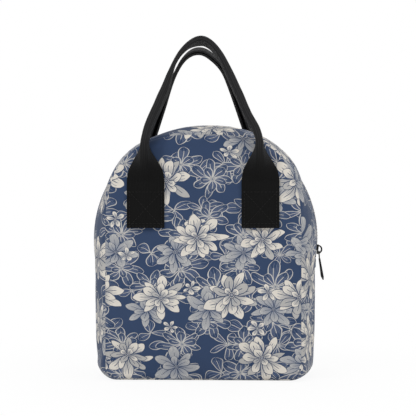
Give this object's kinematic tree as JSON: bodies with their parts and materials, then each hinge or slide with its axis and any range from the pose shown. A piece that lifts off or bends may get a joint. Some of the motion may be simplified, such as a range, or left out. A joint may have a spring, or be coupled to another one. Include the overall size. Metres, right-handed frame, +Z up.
{
  "type": "insulated lunch bag",
  "caption": "Soft insulated lunch bag with an arched front, padded gusset, a zip over the top and two folded webbing handles.",
  "frame": {"origin": "middle of the flat base, on the surface that the bag stands on", "axes": "+Z up, front panel towards -Y, +X to the viewer's right; the zip's slider is parked on the +X side"},
  "size_m": [0.2431, 0.1686, 0.347],
  "materials": {
    "canvas": "woven polyester canvas, printed navy and cream",
    "foam": "closed-cell polyethylene foam",
    "foil_lining": "silver foil film, lightly embossed",
    "binding": "woven polypropylene binding tape",
    "webbing": "ribbed black polyester webbing",
    "zip_tape": "woven black zip tape",
    "zip_teeth": "black polyester teeth",
    "gunmetal": "gunmetal-plated zinc"
  },
  "bodies": {
    "bag": {"back_panel_outer": "canvas", "back_panel_foam": "foam", "back_panel_lining": "foil_lining", "front_lower_outer": "canvas", "front_lower_foam": "foam", "front_lower_lining": "foil_lining", "lower_gusset_outer": "canvas", "lower_gusset_foam": "foam", "lower_gusset_lining": "foil_lining", "rear_gusset_outer": "canvas", "rear_gusset_foam": "foam", "rear_gusset_lining": "foil_lining", "rear_binding": "binding", "front_lower_binding": "binding", "rear_zip_tape": "zip_tape", "rear_zip_teeth": "zip_teeth", "front_tape_ends": "zip_tape", "front_teeth_ends": "zip_teeth", "zip_stops": "gunmetal", "zip_end_tabs": "canvas", "back_tab_left": "webbing", "back_tab_right": "webbing"},
    "front_flap": {"front_upper_outer": "canvas", "front_upper_foam": "foam", "front_upper_lining": "foil_lining", "front_gusset_outer": "canvas", "front_gusset_foam": "foam", "front_gusset_lining": "foil_lining", "front_upper_binding": "binding", "front_zip_tape": "zip_tape", "front_zip_teeth": "zip_teeth", "front_tab_left": "webbing", "front_tab_right": "webbing"},
    "front_handle": {"front_handle_loop": "webbing"},
    "back_handle": {"back_handle_loop": "webbing"},
    "zip_slider": {"zip_slider": "gunmetal"},
    "zip_pull": {"zip_pull": "gunmetal"}
  },
  "joints": [
    {"name": "flap_fold", "type": "hinge", "parent": "bag", "child": "front_flap", "pos_m": [0, -0.065, 0.137], "axis": [1, 0, 0], "range_deg": [0, 45]},
    {"name": "front_handle_fold", "type": "hinge", "parent": "front_flap", "child": "front_handle", "pos_m": [0, -0.06735, 0.199], "axis": [1, 0, 0], "range_deg": [0, 150]},
    {"name": "back_handle_fold", "type": "hinge", "parent": "bag", "child": "back_handle", "pos_m": [0, 0.06735, 0.199], "axis": [-1, 0, 0], "range_deg": [0, 150]},
    {"name": "slider_travel", "type": "hinge", "parent": "bag", "child": "zip_slider", "pos_m": [0, 0, 0.142], "axis": [0, -1, 0], "range_deg": [0, 191.8]},
    {"name": "pull_swing", "type": "hinge", "parent": "zip_slider", "child": "zip_pull", "pos_m": [0.11876, 0, 0.12754], "axis": [0, -1, 0], "range_deg": [-13, 130]}
  ]
}
